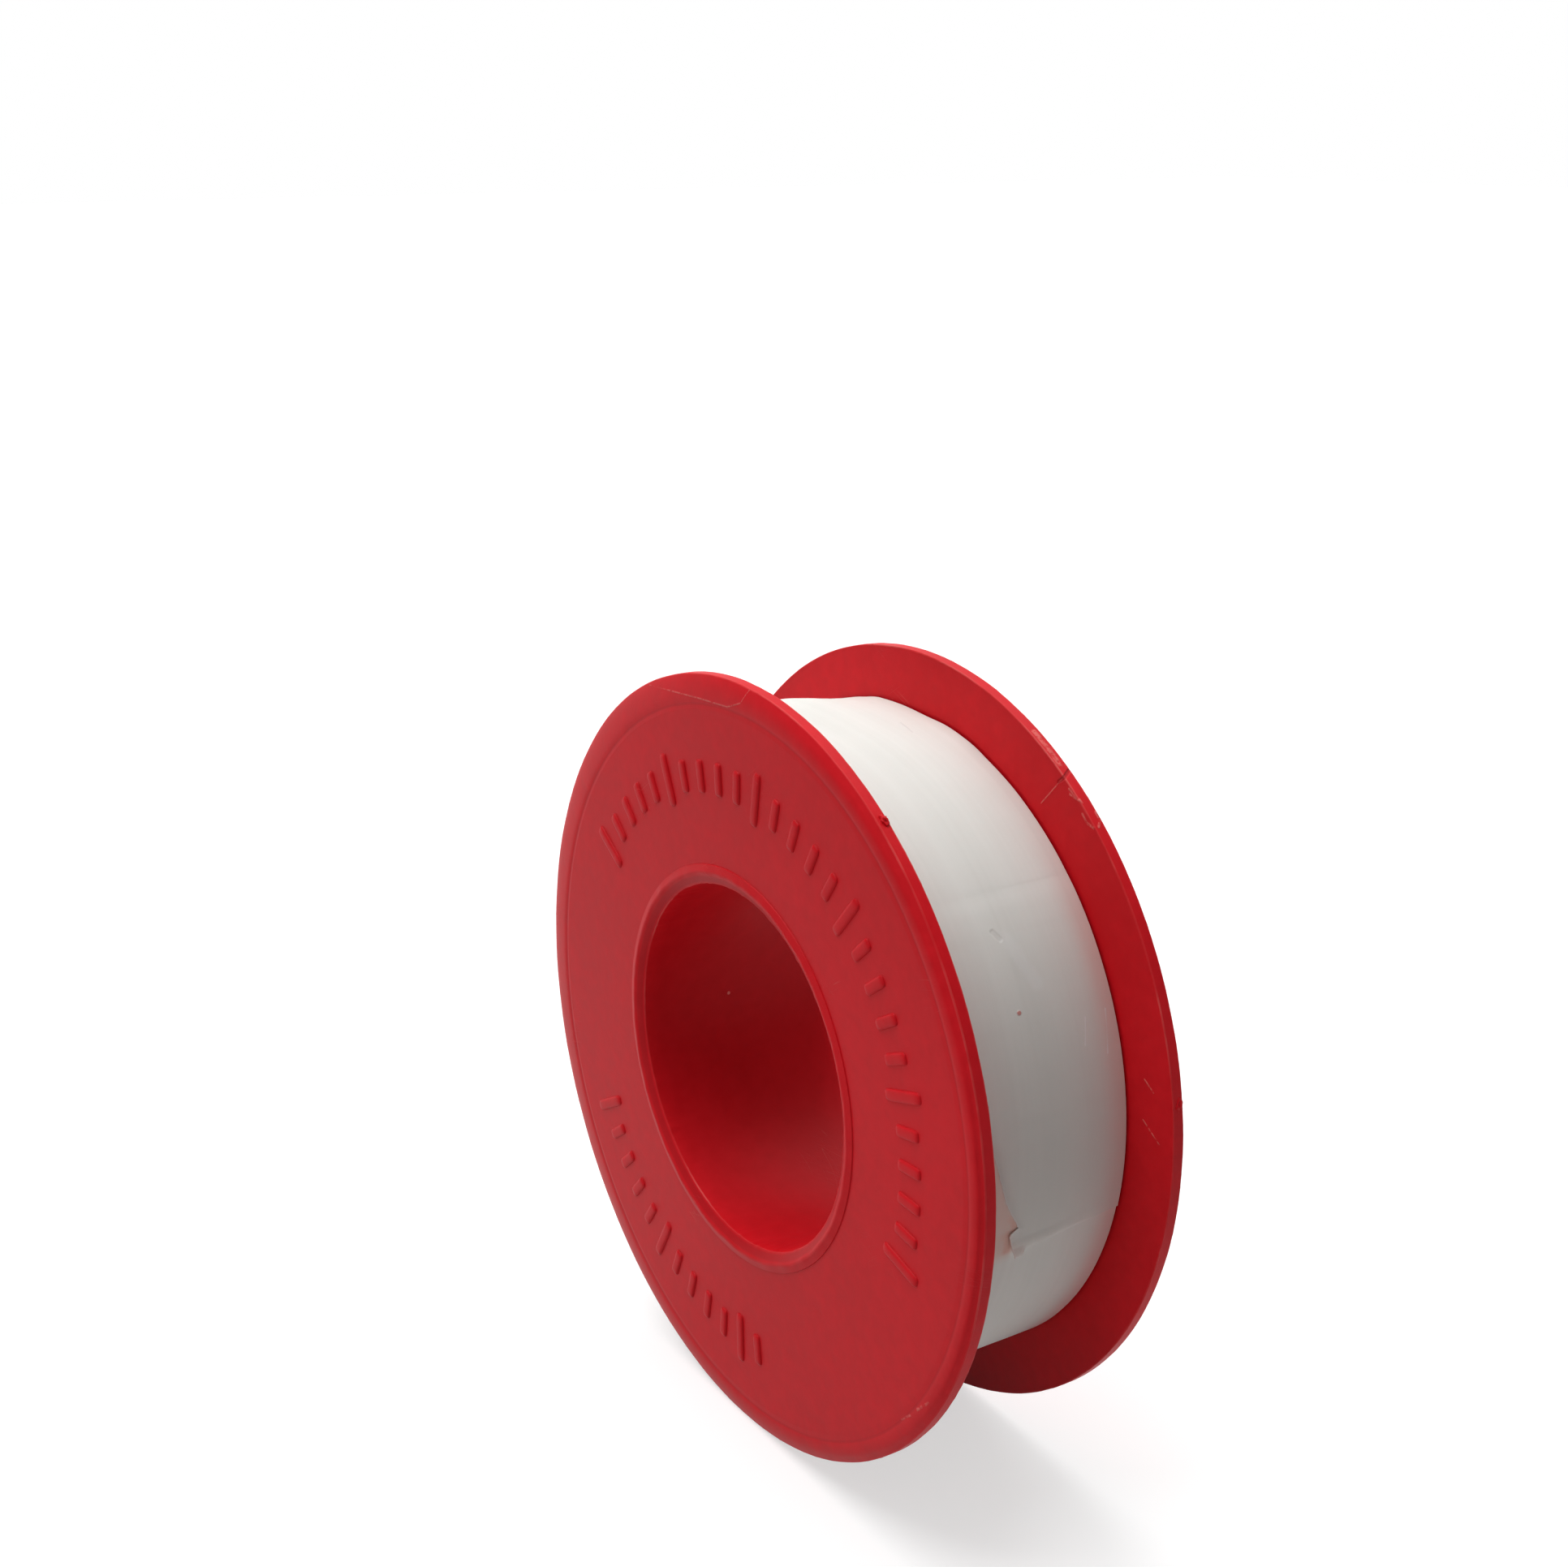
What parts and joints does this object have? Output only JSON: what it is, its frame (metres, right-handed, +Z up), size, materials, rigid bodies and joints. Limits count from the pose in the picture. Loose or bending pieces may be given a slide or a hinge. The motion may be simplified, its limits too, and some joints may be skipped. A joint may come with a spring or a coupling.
{
  "type": "thread seal tape roll",
  "caption": "Roll of thin white thread seal tape on a red spool: a hub with a rear flange, a snapped-on front flange, the wound film and a free end that peels off the roll.",
  "frame": {"origin": "middle of the bore, on the axle line and midway between the outer faces of the two flanges", "axes": "+Y along the axle line towards the rear flange, +Z up from the rims that the roll stands on, +X towards the side where the free end of the tape lies"},
  "size_m": [0.051, 0.0154, 0.051],
  "materials": {
    "spool_plastic": "satin, as moulded",
    "tape_film": "silky matt, unsintered film"
  },
  "bodies": {
    "spool": {"spool_hub": "spool_plastic", "front_flange": "spool_plastic", "tape_roll": "tape_film", "outer_turn": "tape_film"},
    "free_end_root": {"tail_root": "tape_film"},
    "free_end_upper": {"tail_upper": "tape_film"},
    "free_end_lower": {"tail_lower": "tape_film"},
    "free_end_tip": {"tail_tip": "tape_film"}
  },
  "joints": [
    {"name": "peel_root", "type": "hinge", "parent": "spool", "child": "free_end_root", "pos_m": [0.01531, 0, 0.01531], "axis": [0, -1, 0], "range_deg": [0, 24]},
    {"name": "peel_upper", "type": "hinge", "parent": "free_end_root", "child": "free_end_upper", "pos_m": [0.01865, 0, 0.01099], "axis": [0, -1, 0], "range_deg": [0, 24]},
    {"name": "peel_lower", "type": "hinge", "parent": "free_end_upper", "child": "free_end_lower", "pos_m": [0.02081, 0, 0.00597], "axis": [0, -1, 0], "range_deg": [0, 24]},
    {"name": "peel_tip", "type": "hinge", "parent": "free_end_lower", "child": "free_end_tip", "pos_m": [0.02164, 0, 0.00057], "axis": [0, -1, 0], "range_deg": [0, 24]}
  ],
  "couplings": [
    {"joint": "peel_upper", "follows": "peel_root", "ratio": 1},
    {"joint": "peel_lower", "follows": "peel_root", "ratio": 1},
    {"joint": "peel_tip", "follows": "peel_root", "ratio": 1}
  ]
}
